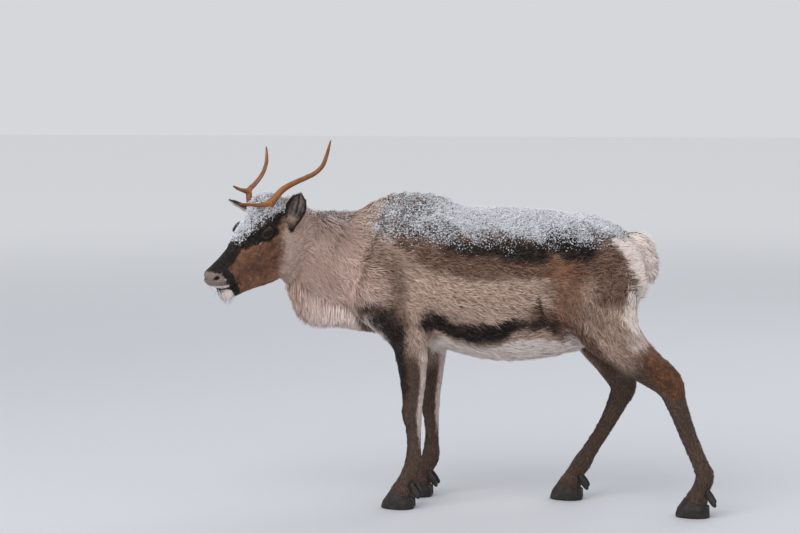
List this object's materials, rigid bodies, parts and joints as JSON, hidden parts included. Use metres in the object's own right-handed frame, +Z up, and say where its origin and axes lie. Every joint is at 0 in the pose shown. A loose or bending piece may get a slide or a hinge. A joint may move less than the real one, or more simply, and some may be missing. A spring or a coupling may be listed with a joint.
{
  "type": "reindeer",
  "caption": "Life-size standing reindeer with turned head, swept-back antlers, throat mane, cupped ears, short tail and broad cloven hooves.",
  "frame": {"origin": "middle of the bounding box's base, on the floor", "axes": "+Z up; the head points to -X; the animal's left side is at -Y"},
  "size_m": [1.558, 0.5384, 1.1502],
  "materials": {
    "coat_flank": "dense winter fur, dark band below the back, paler flank, white belly",
    "coat_neck": "long cream-grey fur, off-white throat mane",
    "coat_face": "short fur, dark bridge and rusty cheeks",
    "coat_leg": "short dark brown fur",
    "coat_rump": "long white fur",
    "coat_ear": "short grey fur with a dark rim",
    "eye": "wet, glossy and nearly black",
    "antler": "bare amber bone, smooth, darker at the tips",
    "hoof": "satin black horn"
  },
  "bodies": {
    "root": {"foreleg_left_forearm": "coat_leg", "foreleg_left_cannon": "coat_leg", "foreleg_left_foot": "coat_leg", "foreleg_left_claw_outer": "hoof", "foreleg_left_dewclaw_outer": "hoof", "foreleg_left_claw_inner": "hoof", "foreleg_left_dewclaw_inner": "hoof", "foreleg_right_forearm": "coat_leg", "foreleg_right_cannon": "coat_leg", "foreleg_right_foot": "coat_leg", "foreleg_right_claw_outer": "hoof", "foreleg_right_dewclaw_outer": "hoof", "foreleg_right_claw_inner": "hoof", "foreleg_right_dewclaw_inner": "hoof", "hindleg_left_gaskin": "coat_leg", "hindleg_left_cannon": "coat_leg", "hindleg_left_foot": "coat_leg", "hindleg_left_claw_outer": "hoof", "hindleg_left_dewclaw_outer": "hoof", "hindleg_left_claw_inner": "hoof", "hindleg_left_dewclaw_inner": "hoof", "hindleg_right_gaskin": "coat_leg", "hindleg_right_cannon": "coat_leg", "hindleg_right_foot": "coat_leg", "hindleg_right_claw_outer": "hoof", "hindleg_right_dewclaw_outer": "hoof", "hindleg_right_claw_inner": "hoof", "hindleg_right_dewclaw_inner": "hoof", "torso": "coat_flank", "neck": "coat_neck", "head": "coat_face", "antler_left_beam": "antler", "antler_left_brow_tine": "antler", "ear_left": "coat_ear", "eye_left": "eye", "antler_right_beam": "antler", "antler_right_brow_tine": "antler", "ear_right": "coat_ear", "eye_right": "eye", "tail": "coat_rump"}
  },
  "joints": []
}
